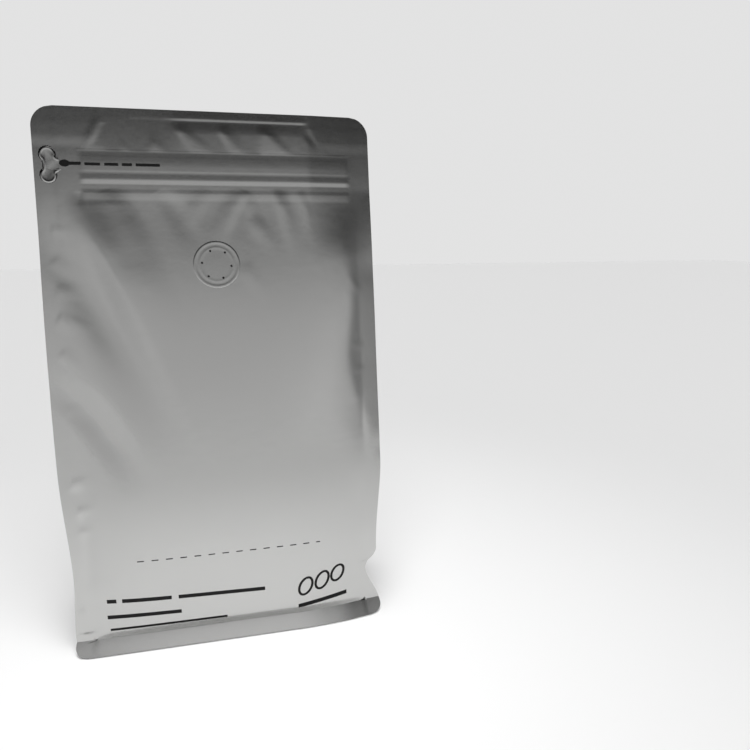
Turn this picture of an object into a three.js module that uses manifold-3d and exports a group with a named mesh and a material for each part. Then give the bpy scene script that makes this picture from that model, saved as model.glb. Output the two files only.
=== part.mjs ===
// A flat-bottom coffee bag, filled, shut and standing on its base.
// Millimetres, +Z up, front towards -Y, origin at the middle of the base.
import * as THREE from 'three';
import { mergeVertices } from 'three/addons/utils/BufferGeometryUtils.js';
import Module from 'manifold-3d';

// ---- Driving dimensions ----
const bagWidth = 150; // across the front panel, over both side seals
const bagHeight = 250;
const sideDepth = 45; // a side gusset between its two seals, laid open at the base
const sideSeal = 8.5; // width of the flat seal down each upright edge
const bottomSeal = 8.5; // length of the seal under the front and the back panel
const bottomSealReach = 7.4; // how far that seal slants out past the panel
const seamHeight = 5; // where the panel meets the bottom seal
const sealThickness = 0.8; // one seal, its films pressed together
const topRadius = 9; // rounded corners of a panel
const bottomRadius = 6;
const panelBulge = 4.5; // how far the filling pushes out the middle of a panel
const sideBow = 2.5; // and the middle of a side gusset
const baseInset = 3.6; // the flat base is this much smaller than the bag all round
const leanAtZip = 2.8; // the bag leans back by this much at the zip
const headerLean = THREE.MathUtils.degToRad(9.5); // and its flat header by this angle

// Zip strip across the front, measured down the film from the top edge
const stripTop = 19.1; // this edge is the tear line
const stripFoot = 40.4;
const stripLeft = -57.3; // the strip stops short of the pull tab
const stripRight = 65.8;
const stripThickness = 0.6;
const ridgeDrops = [32.8, 35.5]; // the two pressed-in ridges
const ridgeHeight = 0.9;
const ridgeWidth = 2;

// One-way valve
const valveRadius = 10.6;
const valveHeight = 181.5;
const valveDepth = 1.4;
const valveRise = 0.5; // how far its rim stands out of the panel
const pinholeCount = 6;
const pinholeCircle = 6.65;
const pinholeRadius = 0.35;
const pinholeTurn = THREE.MathUtils.degToRad(-6.5);

// Pull tab: two round lobes on a short neck that points to the strip
const tabCentre = { x: -69.2, drop: 25.2 };
const lobeRadius = 3.2;
const lobeSpacing = 9;
const waistInset = 1.4;
const neckLength = 5.5;
const neckHeight = 5.6;

const clearance = 0.3; // between separate pieces
const proud = 0.2; // how far the strip and the tab stand out of the film

// The lower corners of the front panel are drawn in where the bag creases
const leftTuck = { depth: 2, height: 40, above: 50, below: 36 };
const rightTuck = { depth: 3, height: 42, above: 45, below: 38 };
const rightKink = { depth: 6.5, height: 24, above: 13, below: 23 };
const cornerDent = { depth: 3.5, x: 64, height: 14, reach: 34 };

// ---- Mesh fineness ----
const sealColumns = 2;
const panelColumns = 20;
const columnCount = panelColumns + 2 * sealColumns;
const bottomRows = 6; // rows up the bottom seal
const panelRows = 40; // rows from there to the top edge
const rowCount = bottomRows + panelRows;
const endCrowding = 0.88; // rows are closer together near both ends
const sideLayers = 4; // cells across the depth of the bag
const roundSides = 40;

// ---- Derived sizes ----
const halfWidth = bagWidth / 2;
const halfDepth = sideDepth / 2;
const pressedDepth = 0.45 * sealThickness; // half the gap between the two pressed panels
const zipFoot = bagHeight - stripFoot * Math.cos(headerLean); // the bag opens out below it
const headerFace = pressedDepth + sealThickness / 2; // front face of the flat header
const pocketFloor = headerFace - (stripThickness - proud) - clearance;

const { clamp, lerp, smoothstep } = THREE.MathUtils;

// ---- Shape of the bag ----

// 0 at the foot of the zip, 1 at the bottom seam
const openness = (z) => clamp((zipFoot - z) / (zipFoot - seamHeight), 0, 1);

// How far back the middle surface lies: it leans back more and more, and straight in the header
function leanBack(z) {
  if (z < zipFoot) return leanAtZip * (z / zipFoot) ** 2;
  return leanAtZip + Math.tan(headerLean) * (z - zipFoot);
}

// Distance of an upright seal from the middle surface: pressed together at the zip and still
// drawn in below it, half the gusset's depth at the base
function sealDepth(z) {
  const t = openness(z);
  const drawnIn = 10 * t * (1 - t) ** 6;
  return lerp(halfDepth, pressedDepth, (1 - t) ** 2) - drawnIn;
}

// Extra distance of the panel, `across` running from -1 to 1 between its two seals
function fillDepth(across, z) {
  const t = openness(z);
  const upright = (t ** 1.6 * (1 - t) ** 0.9) / 0.195; // most in the lower half of the bag
  const squareness = 2.6 + 4.5 * t; // the panel is flatter, with rounder sides, lower down
  return panelBulge * upright * (1 - Math.abs(across) ** squareness);
}

// How far the creased lower corner at the right falls back
function dentDepth(x, z) {
  const distance = Math.hypot(x - cornerDent.x, z - cornerDent.height) / cornerDent.reach;
  return cornerDent.depth * (1 - smoothstep(distance, 0, 1));
}

// A soft dent in an upright edge
function tuckAt(tuck, z) {
  const span = z > tuck.height ? tuck.above : tuck.below;
  return tuck.depth * (1 - smoothstep(Math.abs(z - tuck.height) / span, 0, 1));
}

// Distance of the panel's outer edge from the middle, side -1 for left and 1 for right
function edgeAt(side, z) {
  if (side < 0) return halfWidth - tuckAt(leftTuck, z);
  return halfWidth - tuckAt(rightTuck, z) - tuckAt(rightKink, z);
}

// How much a rounded corner takes off the edge, `along` being the distance from the end
function cornerCut(radius, along) {
  if (along >= radius) return 0;
  return radius - Math.sqrt(radius ** 2 - (radius - along) ** 2);
}

// Film length from the tip of the bottom seal, at a row of the panel's grid
function filmLengthAt(row) {
  if (row <= bottomRows) return (bottomSeal * row) / bottomRows;
  const k = (row - bottomRows) / panelRows;
  const eased = lerp(k, (1 - Math.cos(Math.PI * k)) / 2, endCrowding);
  return bottomSeal + (bagHeight - seamHeight) * eased;
}

// A point of the front panel at a column and row of its grid: x, height and distance from the
// middle surface, taken halfway through the film
function panelPoint(column, row) {
  const length = filmLengthAt(row);
  const aboveSeam = Math.max(length - bottomSeal, 0);
  const seam = 1 - Math.min(length / bottomSeal, 1); // 1 at the tip of the bottom seal
  const tipHeight = 0.9 * sealThickness;
  const z = lerp(seamHeight + aboveSeam, tipHeight, seam);

  const outer = [-1, 1].map((side) => edgeAt(side, z)
    - cornerCut(topRadius, bagHeight - z) - cornerCut(bottomRadius, length));
  const inner = outer.map((edge, n) => Math.min(edgeAt(2 * n - 1, z) - sideSeal, edge - 0.5));
  const across = (column - sealColumns) / panelColumns; // 0 to 1 between the seals
  let x = lerp(-inner[0], inner[1], across);
  if (across < 0) x = lerp(-outer[0], -inner[0], column / sealColumns);
  if (across > 1) x = lerp(outer[1], inner[1], (columnCount - column) / sealColumns);

  const bulge = fillDepth(clamp(2 * across - 1, -1, 1), z);
  const depth = sealDepth(z) + bulge - dentDepth(x, z) + seam * bottomSealReach;
  return { x, z, depth };
}

// The point in space; face is 1 for the front panel and -1 for the back one, which is the
// same panel turned round
function facePoint(face, column, row) {
  const { x, z, depth } = panelPoint(column, row);
  return new THREE.Vector3(face * x, leanBack(z) - face * depth, z);
}

// Outward direction of a panel, from its neighbours on the grid
function faceNormal(face, column, row) {
  const step = 0.3;
  const right = facePoint(face, Math.min(column + step, columnCount), row);
  right.sub(facePoint(face, Math.max(column - step, 0), row));
  const up = facePoint(face, column, Math.min(row + step, rowCount));
  up.sub(facePoint(face, column, Math.max(row - step, 0)));
  return right.cross(up).normalize();
}

// ---- Building blocks ----
const wasm = await Module();
wasm.setup();

// A box of unit cells whose lattice points are moved to place(i, j, k): i runs to the
// right, j up and k towards the front
function warpedBox(columns, rows, layers, place) {
  const geometry = new THREE.BoxGeometry(columns, rows, layers, columns, rows, layers);
  const position = geometry.attributes.position;
  for (let n = 0; n < position.count; n += 1) {
    const i = Math.round(position.getX(n) + columns / 2);
    const j = Math.round(position.getY(n) + rows / 2);
    const k = Math.round(position.getZ(n) + layers / 2);
    const point = place(i, j, k);
    position.setXYZ(n, point.x, point.y, point.z);
  }
  return geometry;
}

function toSolid(geometry) {
  const bare = geometry.clone();
  bare.deleteAttribute('normal');
  bare.deleteAttribute('uv');
  const merged = mergeVertices(bare, 1e-4);
  return new wasm.Manifold(new wasm.Mesh({
    numProp: 3,
    vertProperties: new Float32Array(merged.attributes.position.array),
    triVerts: new Uint32Array(merged.index.array),
  }));
}

function toGeometry(solid) {
  const mesh = solid.getMesh();
  const geometry = new THREE.BufferGeometry();
  geometry.setAttribute('position', new THREE.BufferAttribute(mesh.vertProperties, 3));
  geometry.setIndex(new THREE.BufferAttribute(mesh.triVerts, 1));
  geometry.computeVertexNormals();
  return geometry;
}

// ---- The pouch ----

// One panel with its side seals and bottom seal, a single sheet
function panelSheet(face) {
  return warpedBox(columnCount, rowCount, 1, (i, j, k) => {
    const offset = sealThickness * (k - 0.5);
    return facePoint(face, i, j).addScaledVector(faceNormal(face, i, j), offset);
  });
}

// The filled body between the two panels, with a gusset folded into each side
function filledBody() {
  const topRow = rowCount - 8;
  const rows = topRow - bottomRows + 1; // the lowest row is the chamfer round the base
  const middle = sideLayers / 2;
  return warpedBox(panelColumns, rows, sideLayers, (i, j, k) => {
    const row = Math.max(j - 1, 0) + bottomRows;
    const front = panelPoint(sealColumns + i, row);
    const back = panelPoint(sealColumns + panelColumns - i, row);
    const toFace = (k - middle) / middle; // -1 at the back, 0 in the middle, 1 in front
    const face = toFace < 0 ? { x: -back.x, depth: back.depth } : front;
    const centreX = (front.x - back.x) / 2;

    const fold = Math.sqrt(Math.max(halfDepth ** 2 - sealDepth(front.z) ** 2, 0));
    const bow = sideBow * Math.sin(Math.PI * openness(front.z)) * openness(front.z);
    const acrossFolded = 1 - (fold - bow) / Math.abs(centreX || 1);
    const side = i === 0 || i === panelColumns;
    const foldedX = side ? centreX * acrossFolded : centreX;

    const point = new THREE.Vector3(
      lerp(foldedX, face.x, Math.abs(toFace)),
      leanBack(front.z) - toFace * face.depth,
      front.z,
    );
    if (j === 0) {
      const shrink = (size) => Math.max(Math.abs(size) - baseInset, 0) / Math.abs(size || 1);
      point.set(point.x * shrink(halfWidth), point.y * shrink(halfDepth), 0);
    }
    return point;
  });
}

// ---- The flat header ----

// Frame of the header: origin in the middle of the top edge, Z up along the film
const header = new THREE.Group();
header.position.set(0, leanBack(bagHeight), bagHeight);
header.rotation.x = -headerLean;
header.updateMatrix();

const inHeader = (geometry) => geometry.applyMatrix4(header.matrix);

// ---- Zip strip ----

// Outline of the strip's section in depth (x) and height (y), front towards -x
function stripSection() {
  const section = new THREE.Shape();
  const face = -stripThickness;
  section.moveTo(0, -stripFoot);
  section.lineTo(0, -stripTop);
  section.lineTo(face, -stripTop);
  ridgeDrops.forEach((drop) => {
    section.lineTo(face, -drop + ridgeWidth / 2);
    section.absellipse(face, -drop, ridgeHeight, ridgeWidth / 2, Math.PI / 2, 1.5 * Math.PI);
  });
  section.lineTo(face, -stripFoot);
  section.closePath();
  return section;
}

function stripGeometry() {
  const geometry = new THREE.ExtrudeGeometry(stripSection(), {
    depth: stripRight - stripLeft, bevelEnabled: false, curveSegments: 8,
  });
  // The section's plane is turned to Y and Z, and the extrusion runs along X
  geometry.applyMatrix4(new THREE.Matrix4().makeBasis(
    new THREE.Vector3(0, 1, 0), new THREE.Vector3(0, 0, 1), new THREE.Vector3(1, 0, 0),
  ));
  return geometry;
}

// Shallow pocket in the header that holds the strip
function stripPocket() {
  const width = stripRight - stripLeft + 2 * clearance;
  const height = stripFoot - stripTop + 2 * clearance;
  const reach = 6; // well past the front face
  const pocket = new THREE.BoxGeometry(width, reach, height);
  pocket.translate(
    (stripLeft + stripRight) / 2,
    -pocketFloor - reach / 2,
    -(stripTop + stripFoot) / 2,
  );
  return inHeader(pocket);
}

// ---- Pull tab ----

// Outline of the tab about its middle, made larger all round by `grow`
function tabOutline(grow) {
  const radius = lobeRadius + grow;
  const lobe = lobeSpacing / 2;
  const halfNeck = neckHeight / 2 + grow;
  const neckEnd = neckLength + grow;
  const start = THREE.MathUtils.degToRad(-12); // where a lobe meets the neck
  const end = THREE.MathUtils.degToRad(228); // and the waist
  const outline = new THREE.Shape();
  outline.moveTo(neckEnd, halfNeck);
  outline.quadraticCurveTo(
    lobeRadius + 0.4, halfNeck - 0.3,
    radius * Math.cos(start), lobe + radius * Math.sin(start),
  );
  outline.absarc(0, lobe, radius, start, end);
  outline.quadraticCurveTo(
    -waistInset - 1.3 * grow, 0,
    radius * Math.cos(end), -lobe - radius * Math.sin(end),
  );
  outline.absarc(0, -lobe, radius, -end, -start);
  outline.quadraticCurveTo(lobeRadius + 0.4, 0.3 - halfNeck, neckEnd, -halfNeck);
  outline.closePath();
  return outline;
}

// The tab's plate, its back face `back` in front of the header's middle plane
function tabPlate(grow, back, thickness) {
  const plate = new THREE.ExtrudeGeometry(tabOutline(grow), {
    depth: thickness, bevelEnabled: false, curveSegments: 10,
  });
  plate.rotateX(Math.PI / 2);
  plate.translate(tabCentre.x, -back, -tabCentre.drop);
  return plate;
}

// ---- Valve ----

// The valve's place: on the panel's face, turned to lie along it
function placeOnPanel(object) {
  const middleColumn = columnCount / 2;
  let row = bottomRows;
  while (panelPoint(middleColumn, row).z < valveHeight) row += 0.01;
  const normal = faceNormal(1, middleColumn, row);
  object.position.copy(facePoint(1, middleColumn, row));
  object.position.addScaledVector(normal, sealThickness / 2);
  object.quaternion.setFromUnitVectors(new THREE.Vector3(0, -1, 0), normal);
}

// A solid of revolution about Y, turned so that its top points to -Y
function turned(profile) {
  const points = profile.map(([radius, rise]) => new THREE.Vector2(radius, rise));
  const geometry = new THREE.LatheGeometry(points, roundSides);
  geometry.rotateX(Math.PI);
  return geometry;
}

function valveSolid() {
  const field = 0.6 * valveRise; // the flat middle lies below the rim
  const groove = 0.3 * valveRise;
  const disc = turned([
    [0, -valveDepth],
    [valveRadius, -valveDepth],
    [valveRadius, 0.5 * valveRise],
    [valveRadius - 0.4, valveRise],
    [valveRadius - 1.4, valveRise],
    [valveRadius - 2.1, groove],
    [valveRadius - 2.7, field],
    [0, field],
  ]);
  let solid = toSolid(disc);
  for (let n = 0; n < pinholeCount; n += 1) {
    const angle = pinholeTurn + (2 * Math.PI * n) / pinholeCount;
    const pinhole = new THREE.CylinderGeometry(pinholeRadius, pinholeRadius, valveDepth, 8);
    pinhole.translate(pinholeCircle * Math.cos(angle), -field, pinholeCircle * Math.sin(angle));
    solid = solid.subtract(toSolid(pinhole));
  }
  return toGeometry(solid);
}

// Round pocket in the panel that holds the valve
function valvePocket() {
  const depth = valveDepth + clearance;
  const reach = 6;
  const pocket = new THREE.CylinderGeometry(
    valveRadius + clearance, valveRadius + clearance, depth + reach, roundSides,
  );
  pocket.translate(0, (depth - reach) / 2, 0);
  const holder = new THREE.Object3D();
  placeOnPanel(holder);
  holder.updateMatrix();
  return pocket.applyMatrix4(holder.matrix);
}

function pouchGeometry() {
  const solid = toSolid(filledBody())
    .add(toSolid(panelSheet(1)))
    .add(toSolid(panelSheet(-1)))
    .subtract(toSolid(stripPocket()))
    .subtract(toSolid(inHeader(tabPlate(clearance, pocketFloor, 6))))
    .subtract(toSolid(valvePocket()));
  return toGeometry(solid);
}

// ---- The bag ----
const silverFilm = { color: 0xa9a9a7, metalness: 0.85, roughness: 0.42 };

function piece(name, geometry, finish) {
  const mesh = new THREE.Mesh(geometry, new THREE.MeshStandardMaterial(finish));
  mesh.name = name;
  return mesh;
}

const bag = new THREE.Group();
bag.name = 'flat_bottom_coffee_bag';

bag.add(piece('pouch', pouchGeometry(), silverFilm));

const plateBack = headerFace + proud - stripThickness; // back faces of the strip and the tab
const strip = piece('zip_strip', stripGeometry(), { ...silverFilm, color: 0xb4b4b2 });
strip.position.set(stripLeft, -plateBack, 0);
header.add(strip);

const tabGeometry = tabPlate(0, plateBack, stripThickness);
header.add(piece('pull_tab', tabGeometry, { ...silverFilm, color: 0x9c9c9a }));
bag.add(header);

const valve = piece('degassing_valve', valveSolid(), { ...silverFilm, color: 0xaeaeac });
placeOnPanel(valve);
bag.add(valve);

export default bag;
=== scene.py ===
import math
import bpy
import numpy as np
from mathutils import Matrix, Vector


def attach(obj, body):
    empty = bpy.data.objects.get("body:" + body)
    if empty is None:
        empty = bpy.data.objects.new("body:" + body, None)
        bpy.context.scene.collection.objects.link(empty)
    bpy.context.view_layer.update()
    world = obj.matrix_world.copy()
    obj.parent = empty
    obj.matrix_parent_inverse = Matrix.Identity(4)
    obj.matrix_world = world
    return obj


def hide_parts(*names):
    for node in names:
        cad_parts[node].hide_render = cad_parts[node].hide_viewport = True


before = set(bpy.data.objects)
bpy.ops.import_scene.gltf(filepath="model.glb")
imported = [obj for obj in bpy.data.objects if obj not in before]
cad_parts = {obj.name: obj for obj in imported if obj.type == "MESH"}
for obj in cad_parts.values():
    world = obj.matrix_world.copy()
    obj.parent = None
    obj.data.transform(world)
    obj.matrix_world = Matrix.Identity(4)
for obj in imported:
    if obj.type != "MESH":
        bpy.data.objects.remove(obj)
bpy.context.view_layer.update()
scene = bpy.context.scene

# The bag's form, in metres. Its front looks towards -Y and it stands on z = 0.
# Pairs, here and below, say where a change starts or ends and over how long it goes.
bag = {
    "width": 0.150,
    "height": 0.250,
    "sideDepth": 0.045,
    "sideSeal": 0.0085,
    "leastSeal": 0.0005,  # what is left of it at a rounded corner
    "bottomSeal": 0.0085,
    "sealReach": 0.0074,  # how far the bottom seal slants out
    "sealDip": 0.03,  # by this share of it the seal sags on the way
    "sealTip": 0.0007,  # height of the bottom seal's edge
    "seamHeight": 0.005,
    "topRadius": 0.009,
    "bottomRadius": 0.006,
    "film": 0.00016,  # one layer
    "pressed": 0.00036,  # from the middle of a seal to its outer film
    "drawnIn": 0.0115,  # the side seals draw together below the zip
    "bulge": 0.0038,
    "sideBow": 0.0025,
    "zipFoot": 0.21015,
    "leanAtZip": 0.0028,
    "headerLean": math.radians(10.5),
    "gussetFold": 0.0305,  # how far the folded sides reach in at the top
}


def smooth(t):
    t = np.clip(t, 0, 1)
    return t * t * (3 - 2 * t)


def rise(t, start, span):  # 0 up to start, 1 from start + span on
    return smooth((t - start) / span)


def fall(t, end, span):  # 1 up to end - span, 0 from end on
    return smooth((end - t) / span)


def bend(t, soft):  # 0 below 0 and t above, with a soft corner
    return soft * np.logaddexp(0, t / soft)


def openness(z):  # 0 at the foot of the zip, 1 at the bottom seam
    return np.clip((bag["zipFoot"] - z) / (bag["zipFoot"] - bag["seamHeight"]), 0, 1)


def leanBack(z):  # how far back the middle surface lies
    low = bag["leanAtZip"] * (np.clip(z, 0, None) / bag["zipFoot"]) ** 2
    high = bag["leanAtZip"] + math.tan(bag["headerLean"]) * (z - bag["zipFoot"])
    return np.where(z < bag["zipFoot"], low, high)


backBend = {"share": 0.32, "soft": 0.0011}


def backFold(z):  # rounds the back where the header bends away from the filled part
    up = z - bag["zipFoot"]
    return backBend["share"] * (bend(up, backBend["soft"]) - np.clip(up, 0, None))


def sealDepth(z):  # distance of a side seal from the middle surface
    half = bag["sideDepth"] / 2
    t = openness(z)
    return half + (bag["pressed"] - half) * (1 - t) ** 2 - bag["drawnIn"] * t * (1 - t) ** 6


# the outer edges are drawn in where the bag creases
tucks = {
    "left": {"depth": 0.002, "height": 0.040, "above": 0.050, "below": 0.036},
    "right": {"depth": 0.003, "height": 0.042, "above": 0.045, "below": 0.038},
    "rightKink": {"depth": 0.0065, "height": 0.024, "above": 0.013, "below": 0.023},
}


def tuck(z, depth, height, above, below):
    span = np.where(z > height, above, below)
    return depth * (1 - smooth(abs(z - height) / span))


def edgeAt(side, z):  # the outer edge's distance from the middle, side -1 left and 1 right
    left = bag["width"] / 2 - tuck(z, **tucks["left"])
    right = bag["width"] / 2 - tuck(z, **tucks["right"])
    right = right - tuck(z, **tucks["rightKink"])
    return np.where(side < 0, left, right)


def innerEdge(x, z):  # where the side seal ends and the filled panel starts
    return np.where(x < 0, edgeAt(-1, z), edgeAt(1, z)) - bag["sideSeal"]


def cornerCut(radius, along):  # what a rounded corner takes off, this far from its end
    t = np.clip(radius - along, 0, radius)
    return radius - np.sqrt(radius ** 2 - t ** 2)


filling = {"square": 2.4, "squarerBelow": 2.2, "lowPower": 2, "highPower": 0.9, "peak": 0.166}


def fillDepth(across, z):  # how far the filling pushes the panel out
    t = openness(z)
    square = filling["square"] + filling["squarerBelow"] * t
    upright = t ** filling["lowPower"] * (1 - t) ** filling["highPower"] / filling["peak"]
    return bag["bulge"] * upright * (1 - np.abs(across) ** square)


# the right side turns back beyond a line down the bag
rolled = {
    "line": 0.0620, "wave": 0.0012, "waveFrom": 0.15, "waveTurns": 95,
    "lowOut": 0.0065, "lowBelow": (0.140, 0.050),
    "body": 0.15, "bodySoft": 0.0010, "bodyAbove": (0.0775, 0.015), "bodyBelow": (0.213, 0.04),
    "header": 0.07, "headerSoft": 0.0006, "headerFrom": 0.045, "headerAbove": (0.182, 0.035),
    "backAbove": (0.165, 0.03),
}


def rolledBack(x, z):
    line = rolled["line"] + rolled["wave"] * np.sin((z - rolled["waveFrom"]) * rolled["waveTurns"]) \
        + rolled["lowOut"] * fall(z, *rolled["lowBelow"])
    inBody = rise(z, *rolled["bodyAbove"]) * fall(z, *rolled["bodyBelow"])
    inHeader = rise(z, *rolled["headerAbove"])
    return rolled["body"] * inBody * bend(x - line, rolled["bodySoft"]) \
        + rolled["header"] * inHeader * bend(x - rolled["headerFrom"], rolled["headerSoft"])


def rolledBehind(x, z):  # the back goes with it where the bag is flat
    return rolledBack(x, z) * rise(z, *rolled["backAbove"])


# low on the right the filled base holds the side seal forward
lowRight = {"out": 0.0012, "from": (0.038, 0.030), "below": (0.115, 0.035), "above": (0.015, 0.035)}


def broughtForward(x, z):
    return lowRight["out"] * rise(x, *lowRight["from"]) * fall(z, *lowRight["below"]) \
        * rise(z, *lowRight["above"])


# the lower right corner is pushed back below a slanting crease
ear = {"from": 0.0565, "under": 0.0285, "slant": 0.25, "slope": 0.16, "soft": 0.0025, "edge": 0.004}


def foldedEar(x, z):
    top = ear["under"] + ear["slant"] * (x - ear["from"])
    return ear["slope"] * bend(x - ear["from"], ear["soft"]) * fall(z, top, ear["edge"])


def bezier(path, count=16):  # from the first to the last point, through the middle one
    p = np.array(path) / 1000
    t = np.linspace(0, 1, count)[:, None]
    middle = 2 * p[1] - (p[0] + p[2]) / 2
    return (1 - t) ** 2 * p[0] + 2 * t * (1 - t) * middle + t ** 2 * p[2]


def alongLine(x, z, path):
    # signed distance from the line, above 0 on its left, and how far along it, 0 to 1; it goes
    # on straight past its ends
    line = bezier(path)
    far = 9.0
    best = np.full(x.shape, far)
    signed, along = np.zeros(x.shape), np.zeros(x.shape)
    for n in range(len(line) - 1):
        a, b = line[n], line[n + 1]
        d = b - a
        t = ((x - a[0]) * d[0] + (z - a[1]) * d[1]) / (d @ d)
        t = np.clip(t, 0 if n else -far, 1 if n < len(line) - 2 else far)
        ex, ez = x - a[0] - t * d[0], z - a[1] - t * d[1]
        gap = np.hypot(ex, ez)
        nearer = gap < best
        side = np.sign(ez * d[0] - ex * d[1])
        best = np.where(nearer, gap, best)
        signed = np.where(nearer, gap * side, signed)
        along = np.where(nearer, (n + t) / (len(line) - 1), along)
    return signed, along


def crease(x, z, path, height, left, right, fade=(0.15, 0.7)):
    # a ridge along the line, or a groove if height is below 0; left and right are the widths of
    # its flanks for someone who walks along the line, and fade the shares of its length over
    # which it starts and ends
    margin = 2
    reach = max(left, right) + margin
    low, high = np.min(path, axis=0) - reach, np.max(path, axis=0) + reach
    near = (x > low[0] / 1000) & (x < high[0] / 1000) & (z > low[1] / 1000) & (z < high[1] / 1000)
    total = np.zeros(x.shape)
    s, t = alongLine(x[near], z[near], path)
    flank = np.where(s > 0, s / (left / 1000), -s / (right / 1000))
    ends = smooth(t / fade[0]) * smooth((1 - t) / fade[1])
    total[near] = height / 1000 * (1 - smooth(flank)) * ends
    return total


# creases of the film in millimetres; a path is start, middle and end as (across, up)
frontCreases = [
    # long folds from the upper left corner of the filled part
    {"path": ((-77, 210), (-47, 153), (-20, 82)), "height": -2.3, "left": 15, "right": 16,
     "fade": (0.5, 0.5)},
    {"path": ((-60, 217), (-45, 181), (-27, 136)), "height": 0.75, "left": 22, "right": 10,
     "fade": (0.45, 0.45)},
    {"path": ((-45, 216), (-38, 198), (-30, 180)), "height": 0.14, "left": 9, "right": 8,
     "fade": (0.05, 0.6)},
    {"path": ((-80, 136), (-56, 111), (-42, 76)), "height": -1.9, "left": 12, "right": 10,
     "fade": (0.5, 0.4)},
    # short puckers beside the left seal
    {"path": ((-70, 197), (-66, 196.5), (-58, 195)), "height": 0.07, "left": 4, "right": 4},
    {"path": ((-70, 185), (-64, 180), (-54, 175)), "height": 0.08, "left": 5, "right": 5},
    {"path": ((-70, 171), (-64, 170), (-55, 168)), "height": 0.07, "left": 5, "right": 5},
    {"path": ((-70, 159), (-64, 156), (-55, 151)), "height": 0.15, "left": 5, "right": 6},
    {"path": ((-70, 144), (-65, 139), (-59, 132)), "height": 0.2, "left": 5, "right": 4},
    {"path": ((-70, 118), (-65, 118), (-58, 117)), "height": 0.12, "left": 3, "right": 4},
    {"path": ((-70, 85), (-66, 85), (-58, 88)), "height": 0.4, "left": 3, "right": 5},
    {"path": ((-69, 71), (-65, 71.5), (-58, 74)), "height": 0.3, "left": 3, "right": 4},
    {"path": ((-69, 61), (-65, 61), (-59, 63)), "height": 0.25, "left": 3, "right": 4},
    {"path": ((-68, 28), (-60, 32), (-42, 38)), "height": 0.35, "left": 9, "right": 8},
    # below the zip
    {"path": ((-57.5, 214), (-57, 210), (-56.5, 205)), "height": -0.1, "left": 1.6, "right": 1.6},
    {"path": ((-22, 216), (-15, 202), (-8, 184)), "height": -0.12, "left": 7, "right": 7,
     "fade": (0.05, 0.6)},
    {"path": ((-4, 216), (-8, 206), (-14, 192)), "height": 0.09, "left": 6, "right": 6,
     "fade": (0.05, 0.7)},
    {"path": ((14, 216), (7, 203), (1, 187)), "height": 0.15, "left": 5, "right": 7,
     "fade": (0.05, 0.6)},
    {"path": ((15, 216), (17, 204), (19, 188)), "height": 0.1, "left": 5, "right": 4,
     "fade": (0.05, 0.7)},
    {"path": ((17, 204), (22, 196), (29, 184)), "height": 0.09, "left": 5, "right": 6,
     "fade": (0.4, 0.6)},
    {"path": ((30, 216), (32.5, 202), (36, 182)), "height": 0.24, "left": 6, "right": 4,
     "fade": (0.02, 0.75)},
    {"path": ((41, 216), (42.5, 206), (44, 192)), "height": 0.12, "left": 3.5, "right": 3.5,
     "fade": (0.05, 0.7)},
    {"path": ((12, 183), (16, 175), (24, 163)), "height": 0.07, "left": 5, "right": 6,
     "fade": (0.4, 0.6)},
    # the right shoulder and the rolled right side
    {"path": ((56, 200), (53, 160), (50, 104)), "height": 0.15, "left": 12, "right": 20,
     "fade": (0.3, 0.3)},
    {"path": ((68, 167), (64, 172), (60, 180)), "height": 0.06, "left": 2, "right": 3},
    {"path": ((68, 141), (65, 142), (60, 143)), "height": 0.07, "left": 2.5, "right": 2.5},
    {"path": ((68, 129), (65, 130), (60, 131)), "height": 0.07, "left": 2, "right": 3},
    {"path": ((65, 76), (62.5, 55), (60, 33)), "height": -0.4, "left": 2.6, "right": 2,
     "fade": (0.35, 0.35)},
    # down the left side, and the lower corners
    {"path": ((-67, 106), (-65.5, 70), (-67, 20)), "height": -0.4, "left": 6, "right": 3,
     "fade": (0.3, 0.3)},
    {"path": ((70, 27), (59, 22), (47, 20)), "height": 0.6, "left": 7, "right": 7,
     "fade": (0.1, 0.6)},
    {"path": ((-71, 23), (-68, 16), (-60, 11)), "height": 0.7, "left": 3, "right": 4},
    {"path": ((-75, 9), (-68, 8), (-58, 12)), "height": -0.4, "left": 3, "right": 3},
]
backCreases = [
    {"path": ((-66, 212), (-45, 170), (-30, 118)), "height": 0.8, "left": 14, "right": 16,
     "fade": (0.5, 0.45)},
    {"path": ((64, 211), (52, 170), (38, 124)), "height": 0.7, "left": 16, "right": 14,
     "fade": (0.5, 0.45)},
    {"path": ((-76, 126), (-54, 108), (-38, 80)), "height": 0.7, "left": 12, "right": 10,
     "fade": (0.5, 0.4)},
    {"path": ((76, 106), (56, 92), (44, 70)), "height": 0.6, "left": 11, "right": 10,
     "fade": (0.5, 0.4)},
    {"path": ((-24, 216), (-20, 198), (-12, 180)), "height": 0.12, "left": 7, "right": 6},
    {"path": ((6, 216), (4, 200), (3, 186)), "height": 0.1, "left": 6, "right": 6},
    {"path": ((34, 216), (30, 199), (22, 184)), "height": 0.12, "left": 6, "right": 7},
    {"path": ((-71, 168), (-64, 166), (-56, 164)), "height": 0.2, "left": 5, "right": 5},
    {"path": ((71, 150), (64, 149), (56, 150)), "height": 0.2, "left": 5, "right": 5},
    {"path": ((69, 62), (64, 62), (58, 64)), "height": -0.3, "left": 4, "right": 4},
    {"path": ((-69, 50), (-65, 51), (-58, 53)), "height": -0.3, "left": 4, "right": 4},
    {"path": ((66, 26), (58, 21), (48, 18)), "height": 0.5, "left": 6, "right": 6},
    {"path": ((-66, 24), (-58, 20), (-48, 18)), "height": 0.5, "left": 6, "right": 6},
]
creasesBelow = (0.2165, 0.009)  # they end under the zip strip


def relief(x, z, creases):
    x, z = np.broadcast_arrays(x, z)
    total = np.zeros(x.shape)
    for c in creases:
        total = total + crease(x, z, **c)
    return total * fall(z, *creasesBelow)


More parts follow.
